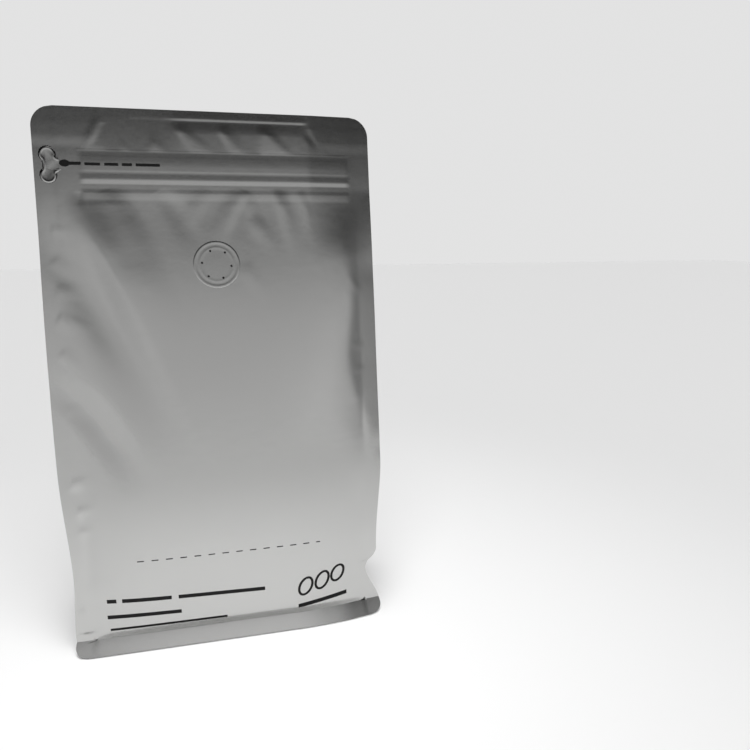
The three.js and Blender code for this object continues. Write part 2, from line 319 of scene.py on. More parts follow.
# shallow puckers of the header above the tear line, in millimetres: left and right end of their
# foot and of their top, and how far the top stands out
headerPuckers = [
    {"foot": (-57, -42), "top": (-50, -46), "topAt": 246, "height": 0.15},
    {"foot": (-40, -31), "top": (-39.5, -38), "topAt": 237, "height": 0.10},
    {"foot": (-29, -16), "top": (-27, -21), "topAt": 237, "height": 0.10},
    {"foot": (-10.5, 5), "top": (-16, -7), "topAt": 241.5, "height": 0.11},
    {"foot": (7.5, 20), "top": (3, 11), "topAt": 241.5, "height": 0.14},
    {"foot": (21, 41), "top": (21, 31), "topAt": 241.5, "height": 0.17},
    {"foot": (43, 60), "top": (41, 44), "topAt": 241.5, "height": 0.09},
]
header = {
    "above": (0.2295, 0.002),  # its relief starts behind the strip's upper edge
    "tearLine": 0.2312,
    "footShare": 0.1, "footSpan": 0.002,  # what a pucker's foot has of its height
    "leftFlank": 0.0034, "rightFlank": 0.0064, "topFlank": 0.0055, "pastTop": 0.004,
}
# between the puckers the film leans a little forward as well
headerLeaning = {"out": 0.00009, "topAt": 0.2400, "from": (-0.022, 0.012), "to": (0.0455, 0.006),
                 "below": (0.2470, 0.0070)}
# crease along the top, from left of the middle to the right fold
topCrease = {"at": 0.2459, "from": (-0.037, 0.006), "to": (0.046, 0.003), "startShare": 0.15,
             "fullFrom": (-0.022, 0.012), "ledge": 0.00008, "ledgeAbove": (-0.0004, 0.0008),
             "ledgeBelow": (0.0042, 0.0038), "groove": -0.00002, "grooveAbove": (-0.0045, 0.004)}
# the folded sides inside end here, and the film steps down towards them
headerFold = {"at": 0.0448, "soft": 0.0014, "straightAbove": 0.2435, "slant": 0.55,
              "slantSoft": 0.0020, "above": (0.2320, 0.006), "step": 0.00008, "less": 0.00001,
              "lessAbove": (0.2425, 0.004)}


def headerRelief(x, z):  # bends of the flat header, which its front and its back share
    total = np.zeros(np.broadcast(x, z).shape)
    foot = header["tearLine"]
    for p in headerPuckers:
        top = p["topAt"] / 1000
        t = np.clip((z - foot) / (top - foot), 0, 1)
        left = (p["foot"][0] + (p["top"][0] - p["foot"][0]) * t) / 1000
        right = (p["foot"][1] + (p["top"][1] - p["foot"][1]) * t) / 1000
        inside = rise(x, left, header["leftFlank"]) * fall(x, right, header["rightFlank"])
        # it stands out most at its top, so that it leans forward and faces less to the sky
        out = rise(z, foot, header["footSpan"]) * header["footShare"] + (1 - header["footShare"]) * t
        total = total + p["height"] / 1000 * out * inside \
            * fall(z, top + header["pastTop"], header["topFlank"])
    t = np.clip((z - foot) / (headerLeaning["topAt"] - foot), 0, 1)
    wide = rise(x, *headerLeaning["from"]) * fall(x, *headerLeaning["to"])
    total = total + headerLeaning["out"] * t * wide * fall(z, *headerLeaning["below"])
    span = topCrease["startShare"] + (1 - topCrease["startShare"]) * rise(x, *topCrease["fullFrom"])
    span = span * rise(x, *topCrease["from"]) * fall(x, *topCrease["to"])
    up = z - topCrease["at"]
    end = fall(up, *topCrease["ledgeBelow"])
    ledge = topCrease["ledge"] * rise(up, *topCrease["ledgeAbove"]) * end
    groove = topCrease["groove"] * rise(up, *topCrease["grooveAbove"]) * end
    return total + span * (ledge + groove)


def headerFolds(x, z):
    side = np.abs(x)
    above = headerFold["straightAbove"]
    straight = rise(side, headerFold["at"], headerFold["soft"])
    slanting = rise(side - headerFold["at"], (above - z) * headerFold["slant"],
                    headerFold["slantSoft"])
    step = np.where(z > above, straight, slanting) * rise(z, *headerFold["above"])
    return headerFold["step"] * step \
        - headerFold["less"] * straight * rise(z, *headerFold["lessAbove"])


panel = {
    "out": 0.0004,  # its outer face lies this much beyond the seals' depth
    "pinch": 0.00012, "pinchLess": 0.00008, "lessAbove": (0.08, 0.03),
    "pinchFrom": (-0.0015, 0.0028),  # measured from the seal's inner edge
    "ridge": 0.00015, "ridgeAt": 0.0085, "ridgeSpan": 0.004,  # above the bottom seam
}
dent = {"depth": 0.0022, "x": 0.064, "z": 0.014, "reach": 0.034}


def sidePinch(x, z):  # the flat seal, pressed thinner than the filled panel beside it
    return rise(np.abs(x) - innerEdge(x, z), *panel["pinchFrom"])


def cornerDent(x, z):  # the lower right corner falls back a little
    return dent["depth"] * (1 - smooth(np.hypot(x - dent["x"], z - dent["z"]) / dent["reach"]))


def panelDepth(x, z, creases):
    # distance of the film's outer face from the middle surface, above the bottom seam
    across = np.clip(np.abs(x) / innerEdge(x, z), 0, 1)
    outer = sealDepth(z) + fillDepth(across, z) + panel["out"]
    inSeal = sidePinch(x, z)
    pressed = (panel["pinch"] - panel["pinchLess"] * rise(z, *panel["lessAbove"])) * inSeal
    ridge = panel["ridge"] * (1 - smooth(abs(z - panel["ridgeAt"]) / panel["ridgeSpan"]))
    depth = outer - pressed + ridge * (1 - inSeal) - cornerDent(x, z) + relief(x, z, creases)
    if creases is not backCreases:
        depth = depth - rolledBack(x, z) + broughtForward(x, z) - foldedEar(x, z)
    return depth


def frontY(x, z, lift=0.0):  # the front film's outer face, or lift in front of it
    y = leanBack(z) - panelDepth(x, z, frontCreases) - lift
    return y - headerRelief(x, z) * rise(z, *header["above"]) - headerFolds(x, z)


def pointY(x, z, lift=0.0):  # the same for one point
    return float(frontY(np.array([x]), np.array([z]), lift)[0])


def backY(x, z):
    y = leanBack(z) + panelDepth(-x, z, backCreases)
    y = y + rolledBehind(x, z) + backFold(z)
    return y - headerRelief(x, z) * rise(z, *header["above"]) + headerFolds(x, z)


# making pieces
softAngle = math.radians(40)  # edges up to this angle are shaded smooth


def fresh():
    if bpy.context.object and bpy.context.object.mode != "OBJECT":
        bpy.ops.object.mode_set(mode="OBJECT")
    bpy.ops.object.select_all(action="DESELECT")


def pick(piece):
    fresh()
    piece.select_set(True)
    bpy.context.view_layer.objects.active = piece


def editAll():
    bpy.ops.object.mode_set(mode="EDIT")
    bpy.ops.mesh.select_all(action="SELECT")


def faceOutwards():
    bpy.ops.mesh.select_all(action="SELECT")
    bpy.ops.mesh.normals_make_consistent(inside=False)
    bpy.ops.object.mode_set(mode="OBJECT")


def pointsOf(piece):
    flat = np.empty(len(piece.data.vertices) * 3)
    piece.data.vertices.foreach_get("co", flat)
    return flat.reshape(-1, 3)


def movePoints(piece, x, y, z):
    piece.data.vertices.foreach_set("co", np.stack((x, y, z), axis=1).ravel())
    piece.data.update()


def gridPiece(name, columns, rows, shape):
    # a sheet of squares, then moved point by point: shape(u, v) gives x, y, z
    fresh()
    bpy.ops.mesh.primitive_grid_add(x_subdivisions=columns, y_subdivisions=rows, size=1)
    piece = bpy.context.active_object
    piece.name = piece.data.name = name
    flat = pointsOf(piece)
    movePoints(piece, *shape(flat[:, 0] + 0.5, flat[:, 1] + 0.5))
    return piece


def thicken(piece, thickness):  # inwards
    pick(piece)
    solid = piece.modifiers.new("thickness", "SOLIDIFY")
    solid.thickness = thickness
    solid.offset = -1.0
    bpy.ops.object.modifier_apply(modifier=solid.name)
    bpy.ops.object.shade_smooth_by_angle(angle=softAngle)


def cutAway(piece, punch, name):
    pick(piece)
    cut = piece.modifiers.new(name, "BOOLEAN")
    cut.operation = "DIFFERENCE"
    cut.object = punch
    cut.solver = "EXACT"
    bpy.ops.object.modifier_apply(modifier=cut.name)


def joinPieces(name, parts):
    fresh()
    for part in parts:
        part.select_set(True)
    bpy.context.view_layer.objects.active = parts[0]
    if len(parts) > 1:
        bpy.ops.object.join()
    whole = bpy.context.active_object
    whole.name = whole.data.name = name
    return whole


# front and back panel
panelGrid = {"sealColumns": 10, "columns": 118, "sealRows": 10}
# how many rows of squares lie up to each height, millimetres
rowSteps = [(5, 0), (15, 16), (196, 128), (250, 100)]
filmColumns = panelGrid["columns"] + 2 * panelGrid["sealColumns"]
filmRows = panelGrid["sealRows"] + sum(step[1] for step in rowSteps)


def filmRow(v):
    # at 0 to 1 up the film: height, film length from the bottom seal's tip, and how far down
    # the seal, 0 to 1
    share = panelGrid["sealRows"] / filmRows
    seam = np.clip(1 - v / share, 0, 1)
    ends = np.cumsum([panelGrid["sealRows"]] + [step[1] for step in rowSteps[1:]]) / filmRows
    z = np.interp(v, ends, [step[0] / 1000 for step in rowSteps])
    z = z + (bag["sealTip"] - bag["seamHeight"]) * seam
    length = np.where(seam > 0, bag["bottomSeal"] * (1 - seam),
                      bag["bottomSeal"] + z - bag["seamHeight"])
    return z, length, seam


def filmColumn(u, z, length):
    share = panelGrid["sealColumns"] / filmColumns
    cut = cornerCut(bag["topRadius"], bag["height"] - z) + cornerCut(bag["bottomRadius"], length)
    leftOut, rightOut = edgeAt(-1, z) - cut, edgeAt(1, z) - cut
    leftIn = np.minimum(edgeAt(-1, z) - bag["sideSeal"], leftOut - bag["leastSeal"])
    rightIn = np.minimum(edgeAt(1, z) - bag["sideSeal"], rightOut - bag["leastSeal"])
    inside = -leftIn + (rightIn + leftIn) * (u - share) / (1 - 2 * share)
    left = -leftOut + (leftOut - leftIn) * u / share
    right = rightOut - (rightOut - rightIn) * (1 - u) / share
    return np.where(u < share, left, np.where(u > 1 - share, right, inside))


def seamOut(seam):  # the bottom seal slants out, with a soft bend where it starts
    return bag["sealReach"] * (seam - bag["sealDip"] * np.sin(np.pi * seam))


def frontShape(u, v):
    z, length, seam = filmRow(v)
    x = filmColumn(u, z, length)
    return x, frontY(x, z) - seamOut(seam), z


def backShape(u, v):  # the same panel turned round
    z, length, seam = filmRow(v)
    x = filmColumn(u, z, length)
    return -x, backY(-x, z) + seamOut(seam), z


frontPanel = gridPiece("front_panel", filmColumns, filmRows, frontShape)
thicken(frontPanel, bag["film"])
backPanel = gridPiece("back_panel", filmColumns, filmRows, backShape)
thicken(backPanel, bag["film"])
print("panels made")

# side gussets, folded in between the panels
gusset = {
    "columns": 72, "rows": 200, "foot": 0.0012, "shorter": 0.0015,
    "seal": 0.16,  # share of its half that is sealed to a panel
    "inset": 0.0002, "foldGap": 0.00006,
    "deeperAtTop": 2.5,  # how soon below the zip the fold loses its extra depth
    "swell": 0.0022, "swellAtTop": 2.2, "swellAtFoot": 9,
    "foldLine": 0.0007, "foldLineWidth": 0.09, "fadeAtTop": 3,
    "ripple": 0.0008, "rippleTurns": (61, 148), "rippleStart": (2.2, 1.3),
    "turnIn": 0.0030, "turnInBelow": (0.0045, 0.004),
}


def insideDepth(side, x, z, toFront):  # where the side film lies against the front or the back
    front = panelDepth(side * x, z, frontCreases) - 2 * bag["film"]
    back = panelDepth(-side * x, z, backCreases) - 2 * bag["film"] + rolledBehind(side * x, z)
    return np.where(toFront, front, back)


def gussetShape(side):
    def shape(u, v):
        u = u if side > 0 else 1 - u  # 0 at the front edge, 1 at the back edge
        z = gusset["foot"] + (bag["height"] - gusset["shorter"]) * v
        toFront = u < 0.5
        w = np.where(toFront, u, 1 - u) * 2  # 0 at the outer edge, 1 at the fold
        inSeal = w < gusset["seal"]
        outline = np.where(toFront, edgeAt(side, z), edgeAt(-side, z))
        edge = outline - cornerCut(bag["topRadius"], bag["height"] - z)
        edge = edge - cornerCut(bag["bottomRadius"], z) - gusset["inset"]
        inner = np.minimum(outline - bag["sideSeal"], edge - bag["leastSeal"])
        t = openness(z)
        half = bag["sideDepth"] / 2
        fold = np.sqrt(np.clip(half ** 2 - (sealDepth(z) - bag["pressed"]) ** 2, 0, None))
        fold = fold * (1 + (bag["gussetFold"] / half - 1) * smooth(1 - t * gusset["deeperAtTop"]))
        bow = bag["sideBow"] * np.sin(np.pi * t) * t
        middle = (edgeAt(side, z) + edgeAt(-side, z)) / 2 - bag["sideSeal"] - fold + bow
        k = np.clip((w - gusset["seal"]) / (1 - gusset["seal"]), 0, 1)
        x = np.where(inSeal, edge + (inner - edge) * w / gusset["seal"], inner + (middle - inner) * k)
        y = np.where(inSeal, insideDepth(side, x, z, toFront),
                     insideDepth(side, inner, z, toFront) * (1 - k) + gusset["foldGap"] * k)
        # the side bows out between its seals, and keeps a soft fold line in the middle
        swell = gusset["swell"] * np.sin(np.pi * k) \
            * smooth(t * gusset["swellAtTop"]) * smooth((1 - t) * gusset["swellAtFoot"])
        fadeAtTop = smooth(t * gusset["fadeAtTop"])
        foldLine = gusset["foldLine"] * (1 - smooth((1 - k) / gusset["foldLineWidth"])) * fadeAtTop
        turns, start = gusset["rippleTurns"], gusset["rippleStart"]
        ripple = gusset["ripple"] * np.sin(z * turns[0] + start[0] * side) \
            * np.sin(z * turns[1] + start[1]) * np.sin(np.pi * k)
        x = x + swell - foldLine
        x = x + ripple * fadeAtTop
        # the foot turns in under the bag
        x = x - gusset["turnIn"] * fall(z, *gusset["turnInBelow"]) * np.where(inSeal, 0, 1)
        return side * x, leanBack(z) - np.where(toFront, 1, -1) * y, z
    return shape


gussets = []
for side, name in ((-1, "left_gusset"), (1, "right_gusset")):
    piece = gridPiece(name, gusset["columns"], gusset["rows"], gussetShape(side))
    thicken(piece, bag["film"])
    gussets.append(piece)
print("side gussets made")

# flat base, sealed to the panels
base = {
    "columns": 90, "rows": 60, "widthAt": 0.004,  # its width is taken at this height
    "seal": 0.22,  # share of its half that lies behind the bottom seal
    "sealInset": 0.0006, "sealWidening": 3,
    "floor": 0.00003, "rise": 0.0009, "riseInwards": 1.5, "turn": 0.12,
    "cornerRise": 0.003, "cornerFrom": (0.955, 0.045),
}


def baseShape(u, v):
    # v runs from the tip of the front seal over the base to the tip of the back seal
    halfX = (edgeAt(-1, base["widthAt"]) + edgeAt(1, base["widthAt"])) / 2 - bag["sideSeal"]
    face = np.where(v < 0.5, 1, -1)
    w = np.where(v < 0.5, v, 1 - v) * 2
    a = np.clip(w / base["seal"], 0, 1)  # up the back of the seal
    b = np.clip((w - base["seal"]) / (1 - base["seal"]), 0, 1)  # across the base
    seam = 1 - a
    fromMiddle = abs(2 * u - 1)
    zSeal = bag["sealTip"] + (bag["seamHeight"] - bag["sealTip"]) * a
    halfSeal = halfX + (bag["sideSeal"] - base["sealInset"]) * smooth(seam * base["sealWidening"])
    half = np.where(b > 0, halfX, halfSeal)
    cut = cornerCut(bag["bottomRadius"], bag["bottomSeal"] * a) * (seam > 0)
    x = (2 * u - 1) * (half - cut)
    seamAt = np.full(x.shape, bag["seamHeight"])
    out = np.where(face > 0, panelDepth(x, seamAt, frontCreases), panelDepth(x, seamAt, backCreases))
    out = out + seamOut(seam) - 2 * bag["film"]
    floor = base["floor"] + base["rise"] * smooth(1 - fromMiddle) * smooth(b * base["riseInwards"])
    down = (floor - bag["seamHeight"]) * smooth(b / base["turn"])
    z = np.where(b > 0, bag["seamHeight"] + down, zSeal)
    cornerRise = base["cornerRise"] * rise(fromMiddle, *base["cornerFrom"]) * (b > 0)
    return x, -face * out * (1 - b), z + cornerRise


basePanel = gridPiece("base_panel", base["columns"], base["rows"], baseShape)
pick(basePanel)
editAll()
bpy.ops.mesh.flip_normals()
bpy.ops.object.mode_set(mode="OBJECT")
thicken(basePanel, bag["film"])
print("base made")

# zip strip
strip = {
    "left": -0.0573, "right": 0.0658, "top": 0.2322, "foot": 0.2096, "columns": 190, "rows": 96,
    "thick": 0.0003, "lift": 0.00002, "body": 0.00008,
    "endFlank": 0.003, "topFlank": 0.0075, "footFlank": 0.004, "edgeShare": 0.25,
    "ribFoot": 0.2130, "ribTop": 0.2204, "ribEnds": 0.0015,
    "flare": 0.0007, "flareLength": 0.002, "flareMiddle": 0.2166,  # ridges spread at the right end
    "rounding": (-0.00022, -0.00011, 0, 0.00011, 0.00022),
}
# relief of the strip from its top to its foot: height and how far it stands out, millimetres
stripProfile = [
    (232.3, 0.0), (231.9, 0.045), (231.0, 0.01), (228.8, 0.04), (223.0, 0.015), (222.3, -0.005),
    (221.6, -0.005), (219.5, 0.05), (218.9, 0.05), (217.1, -0.07), (216.3, -0.065), (214.9, -0.06),
    (213.2, -0.02), (212.4, -0.015), (211.0, 0.0), (209.6, 0.0),
]


def profileAt(z):
    heights = np.array([p[0] for p in stripProfile][::-1]) / 1000
    out = np.array([p[1] for p in stripProfile][::-1]) / 1000
    total = np.zeros(z.shape)
    for shift in strip["rounding"]:  # the corners are a little rounded
        total = total + np.interp(z + shift, heights, out) / len(strip["rounding"])
    return total


def stripShape(u, v):
    x = strip["left"] + (strip["right"] - strip["left"]) * u
    z = strip["foot"] + (strip["top"] - strip["foot"]) * v
    toEnd = np.minimum(x - strip["left"], strip["right"] - x)
    flare = strip["flare"] * smooth(1 - (strip["right"] - x) / strip["flareLength"])
    height = profileAt(z - flare * np.sign(z - strip["flareMiddle"]))
    onRibs = (z > strip["ribFoot"]) & (z < strip["ribTop"])
    height = np.where(onRibs, height * smooth(toEnd / strip["ribEnds"]), height)
    edge = smooth(toEnd / strip["endFlank"]) * fall(z, strip["top"], strip["topFlank"])
    edge = edge * rise(z, strip["foot"], strip["footFlank"])
    lift = height * (strip["edgeShare"] + (1 - strip["edgeShare"]) * edge)
    return x, frontY(x, z, lift + strip["body"] * edge + strip["lift"]), z


zipStrip = gridPiece("zip_relief", strip["columns"], strip["rows"], stripShape)
thicken(zipStrip, strip["thick"])
print("zip made")

cutters = []  # what is cut out of the film

# valve
valve = {"x": 0.0002, "z": 0.1815, "sides": 96, "thick": 0.00028, "holes": 6, "holeCircle": 0.00665,
         "holeRadius": 0.00050, "holeTurn": -6.5, "holeSides": 16, "holeLength": 0.004}
# radius and rise of the disc's face, from its edge to its middle, millimetres
valveProfile = [
    (10.9, -0.20), (10.6, 0.03), (10.35, 0.08), (10.0, 0.09), (9.6, 0.08), (9.3, 0.055), (8.9, 0.045),
    (8.2, 0.045), (7.9, 0.06), (7.5, 0.062), (7.1, 0.045), (6.2, 0.04), (5.2, 0.04), (4.0, 0.04),
    (2.6, 0.04), (1.2, 0.04),
]


def makeValve():
    fresh()
    before = valveProfile[0]
    bpy.ops.mesh.primitive_circle_add(
        vertices=valve["sides"], radius=before[0] / 1000, fill_type="NOTHING")
    disc = bpy.context.active_object
    disc.name = disc.data.name = "valve_disc"
    editAll()
    bpy.ops.transform.translate(value=(0, 0, before[1] / 1000))
    for radius, out in valveProfile[1:]:
        bpy.ops.mesh.extrude_edges_move(
            TRANSFORM_OT_translate={"value": (0, 0, (out - before[1]) / 1000)})
        bpy.ops.transform.resize(value=(radius / before[0], radius / before[0], 1))
        before = (radius, out)
    bpy.ops.mesh.edge_face_add()
    faceOutwards()
    if disc.data.polygons[-1].normal.z < 0:
        disc.data.flip_normals()
    thicken(disc, valve["thick"])
    holes = []
    for n in range(valve["holes"]):
        angle = math.radians(valve["holeTurn"]) + 2 * math.pi * n / valve["holes"]
        at = (valve["holeCircle"] * math.cos(angle), valve["holeCircle"] * math.sin(angle), 0)
        bpy.ops.mesh.primitive_cylinder_add(
            vertices=valve["holeSides"], radius=valve["holeRadius"], depth=valve["holeLength"],
            location=at)
        holes.append(bpy.context.active_object)
    punch = joinPieces("pinholes", holes)
    bpy.ops.object.transform_apply(location=True, rotation=True, scale=True)
    cutAway(disc, punch, "pinholes")
    punch.data.transform(
        Matrix.Translation((valve["x"], pointY(valve["x"], valve["z"]), valve["z"]))
        @ Matrix.Rotation(math.pi / 2, 4, "X"))
    cutters.append(punch)
    flat = pointsOf(disc)
    x, z = valve["x"] + flat[:, 0], valve["z"] + flat[:, 1]
    movePoints(disc, x, frontY(x, z, flat[:, 2]), z)
    return disc


# pull tab, cut out of the film and joined at its neck
tab = {
    "x": -0.0692, "z": 0.2249, "lobe": 0.0032, "lobeFrom": -12, "lobeTo": 228, "spacing": 0.0090,
    "lobePoints": 33, "curveSteps": 9,
    "waist": 0.0014, "neck": 0.0055, "neckHeight": 0.0056, "neckSoft": 0.0022, "neckSink": 0.0001,
    "flareAt": 0.0004, "flareIn": 0.0003,  # the neck widens from the lobes outwards
    "thick": 0.0004, "lift": 0.00002,
    # inset and rise of each step from its rim inwards
    "steps": ((0.00025, 0.00016), (0.0003, 0.00004), (0.0004, -0.00010), (0.0004, -0.00004)),
    "gap": 0.0004, "gapWaist": 1.3, "gapNeck": 3, "gapBehind": 0.00012, "gapDepth": 0.003,
}


def tabOutline(grow):
    radius, lobe = tab["lobe"] + grow, tab["spacing"] / 2
    start, end = math.radians(tab["lobeFrom"]), math.radians(tab["lobeTo"])
    half, neck = tab["neckHeight"] / 2 + grow, tab["neck"] - tab["gapNeck"] * grow
    flareX = tab["lobe"] + tab["flareAt"]
    points = []

    def curve(a, b, c):
        for n in range(1, tab["curveSteps"]):
            t = n / tab["curveSteps"]
            points.append([(1 - t) ** 2 * a[k] + 2 * t * (1 - t) * b[k] + t * t * c[k] for k in (0, 1)])

    angles = np.linspace(start, end, tab["lobePoints"])
    upper = [(radius * math.cos(a), lobe + radius * math.sin(a)) for a in angles]
    lower = [(p[0], -p[1]) for p in upper[::-1]]
    points.append((neck, half))
    curve((neck, half), (flareX, half - tab["flareIn"]), upper[0])
    points.extend(upper)
    curve(upper[-1], (-tab["waist"] - tab["gapWaist"] * grow, 0), lower[0])
    points.extend(lower)
    curve(lower[-1], (flareX, tab["flareIn"] - half), (neck, -half))
    points.append((neck, -half))
    return np.array(points)


def platePiece(name, outline, steps=()):
    # a flat plate with this outline, from a filled circle; each step is an inset and a rise
    fresh()
    bpy.ops.mesh.primitive_circle_add(vertices=len(outline), radius=1, fill_type="NGON")
    plate = bpy.context.active_object
    plate.name = plate.data.name = name
    for vertex, (px, py) in zip(plate.data.vertices, outline):
        vertex.co = (px, py, 0)
    editAll()
    for inset, out in steps:
        bpy.ops.mesh.inset(thickness=inset, depth=0)
        bpy.ops.transform.translate(value=(0, 0, out))
    faceOutwards()
    return plate


def ontoHeader(piece, lift):
    # turns a piece drawn in X and Y to lie on the header's film, its own Z outwards
    for vertex in piece.data.vertices:
        x, z = tab["x"] + vertex.co.x, tab["z"] + vertex.co.y
        free = fall(vertex.co.x, tab["neck"], tab["neckSoft"])  # its neck runs into the film
        y = pointY(x, z, lift + vertex.co.z * free - tab["neckSink"] * (1 - free))
        vertex.co = (x, y, z)
    piece.data.update()


pullTab = platePiece("tear_tab", tabOutline(0), tab["steps"])
ontoHeader(pullTab, tab["lift"])
thicken(pullTab, tab["thick"])
cutter = platePiece("tab_gap", tabOutline(tab["gap"]))
pick(cutter)
editAll()
bpy.ops.mesh.extrude_region_move(TRANSFORM_OT_translate={"value": (0, 0, tab["gapDepth"])})
faceOutwards()
behind = float(leanBack(np.array([tab["z"]]))[0]) + tab["gapBehind"]
cutter.data.transform(
    Matrix.Translation((tab["x"], behind, tab["z"]))
    @ Matrix.Rotation(-bag["headerLean"], 4, "X") @ Matrix.Rotation(math.pi / 2, 4, "X"))
cutters.append(cutter)
valveDisc = makeValve()
print("valve made")
punch = joinPieces("film_cuts", cutters)
for piece in [frontPanel, gussets[0]]:
    cutAway(piece, punch, "die cut")
bpy.data.objects.remove(punch)
print("film cut")

# print: plain bars, dashes and simple shapes
ink = {"lift": 0.00003, "thick": 0.00003, "onStrip": 0.00024, "square": (0.0008, 0.0006),
       "ovalSides": 40, "ovalInsets": 3, "insetShare": 8}


def bar(left, right, low, high, drop=0.0, lift=ink["lift"]):
    # a bar on the front film, millimetres; its right end lies lower by drop
    width, height = (right - left) / 1000, (high - low) / 1000

    def shape(u, v):
        x = left / 1000 + width * u
        z = low / 1000 + height * v - drop / 1000 * u
        return x, frontY(x, z, lift + ink["thick"]), z
    columns, rows = int(width / ink["square"][0]), int(height / ink["square"][1])
    return gridPiece("bar", max(2, columns), max(1, rows), shape)


def oval(at, size, turn, hollow=0.0):
    # an oval on the front film, or a ring of this width, in millimetres and turned by degrees
    fresh()
    bpy.ops.mesh.primitive_circle_add(vertices=ink["ovalSides"], radius=0.5, fill_type="NGON")
    piece = bpy.context.active_object
    editAll()
    bpy.ops.transform.resize(value=(size[0] / 1000, size[1] / 1000, 1))
    if hollow:
        bpy.ops.mesh.inset(thickness=hollow / 1000)
        bpy.ops.mesh.delete(type="FACE")
    else:
        for n in range(ink["ovalInsets"]):  # smaller faces, so that it follows the film
            bpy.ops.mesh.inset(thickness=min(size) / 1000 / ink["insetShare"])
    bpy.ops.object.mode_set(mode="OBJECT")
    c, s = math.cos(math.radians(turn)), math.sin(math.radians(turn))
    for vertex in piece.data.vertices:
        x = at[0] / 1000 + vertex.co.x * c - vertex.co.y * s
        z = at[1] / 1000 + vertex.co.x * s + vertex.co.y * c
        vertex.co = (x, pointY(x, z, ink["lift"] + ink["thick"]), z)
    return piece


# all of these in millimetres
dashes = {"count": 14, "left": -44.0, "pitch": 6.52, "length": 3.1, "lastLength": 2.0,
          "height": 0.55, "at": 44.9}
# plain bars: left, right, low, high, drop
bars = [
    (-59.5, -55.2, 24.1, 26.1, 0.15), (-52.6, -30, 23.8, 25.8, 0.8), (-26.8, 14.6, 22.9, 24.9, 1.4),
    (-60, -26, 15.6, 17.6, 1.1), (-59.3, -4.5, 9.0, 10.2, 0.6), (31, 56.5, 8.0, 10.2, -3.2),
]
# bars beside the tab, which lie on the strip
tabBars = {"ends": ((-54.2, -47.8), (-46, -40.2), (-38.6, -34.4), (-32.8, -22.4)),
           "low": 225.0, "high": 226.2}
# a row of rings: middle and size of each
rings = {"ovals": (((35, 20.5), (7.4, 11.5)), ((43.5, 22.5), (7.4, 11.5)), ((51.6, 25), (7.2, 10.8))),
         "turn": -22, "width": 1.25}
# a drop shape that points to the tab
tabMark = {"at": (-62.4, 225.75), "size": (4.4, 3.0), "stem": (-61.0, -55.8, 225.1, 226.4)}

marks = []
for n in range(dashes["count"]):
    left = dashes["left"] + n * dashes["pitch"]
    length = dashes["length"] if n < dashes["count"] - 1 else dashes["lastLength"]
    marks.append(bar(left, left + length, dashes["at"] - dashes["height"] / 2,
                     dashes["at"] + dashes["height"] / 2))
dashPrint = joinPieces("dash_print", marks)
thicken(dashPrint, ink["thick"])

marks = [bar(*place) for place in bars]
for left, right in tabBars["ends"]:
    marks.append(bar(left, right, tabBars["low"], tabBars["high"], 0, ink["onStrip"]))
for at, size in rings["ovals"]:
    marks.append(oval(at, size, rings["turn"], hollow=rings["width"]))
marks.append(oval(tabMark["at"], tabMark["size"], 0))
marks.append(bar(*tabMark["stem"], 0, ink["onStrip"]))
barPrint = joinPieces("bar_print", marks)
thicken(barPrint, ink["thick"])
print("print made")


# materials
def nodeMaterial(name):
    material = bpy.data.materials.new(name)
    material.use_nodes = True
    tree = material.node_tree
    return material, tree, tree.nodes["Principled BSDF"]


def link(tree, source, target):
    tree.links.new(source, target)


def noise(tree, place, scale, detail):  # even noise over the piece, 0 to 1
    texture = tree.nodes.new("ShaderNodeTexNoise")
    texture.inputs["Scale"].default_value = scale
    texture.inputs["Detail"].default_value = detail
    link(tree, place.outputs["Object"], texture.inputs["Vector"])
    return texture.outputs["Fac"]


def between(tree, source, low, high):
    change = tree.nodes.new("ShaderNodeMapRange")
    change.inputs["To Min"].default_value = low
    change.inputs["To Max"].default_value = high
    link(tree, source, change.inputs["Value"])
    return change.outputs["Result"]


def bumps(tree, height, strength, distance):
    bump = tree.nodes.new("ShaderNodeBump")
    bump.inputs["Strength"].default_value = strength
    bump.inputs["Distance"].default_value = distance
    link(tree, height, bump.inputs["Height"])
    return bump


filmLook = {
    "tone": 0.52, "darkest": 0.975, "lightest": 1.025, "blueShare": 0.985, "roughSpread": 0.03,
    "cloud": (22, 3), "soft": (160, 3), "fine": (900, 2),  # scale and detail of its noises
    "softBump": (0.12, 0.0002), "fineBump": (0.10, 0.00004),  # strength and distance
}
inkLook = {"rough": 0.6, "specular": 0.15, "speckle": (1500, 2), "darkest": 0.7, "lightest": 1.4}


def silverFilm(name, rough, bumpShare):
    look = filmLook
    material, tree, shader = nodeMaterial(name)
    place = tree.nodes.new("ShaderNodeTexCoord")
    tone = between(tree, noise(tree, place, *look["cloud"]),
                   look["tone"] * look["darkest"], look["tone"] * look["lightest"])
    colour = tree.nodes.new("ShaderNodeCombineColor")
    link(tree, tone, colour.inputs[0])
    link(tree, tone, colour.inputs[1])
    warm = tree.nodes.new("ShaderNodeMath")
    warm.operation = "MULTIPLY"
    warm.inputs[1].default_value = look["blueShare"]
    link(tree, tone, warm.inputs[0])
    link(tree, warm.outputs[0], colour.inputs[2])
    link(tree, colour.outputs[0], shader.inputs["Base Color"])
    shader.inputs["Metallic"].default_value = 1.0
    fine = noise(tree, place, *look["fine"])
    gloss = between(tree, fine, rough - look["roughSpread"], rough + look["roughSpread"])
    link(tree, gloss, shader.inputs["Roughness"])
    softStrength, softDistance = look["softBump"]
    fineStrength, fineDistance = look["fineBump"]
    soft = bumps(tree, noise(tree, place, *look["soft"]), softStrength * bumpShare, softDistance)
    grain = bumps(tree, fine, fineStrength * bumpShare, fineDistance)
    link(tree, soft.outputs["Normal"], grain.inputs["Normal"])
    link(tree, grain.outputs["Normal"], shader.inputs["Normal"])
    return material


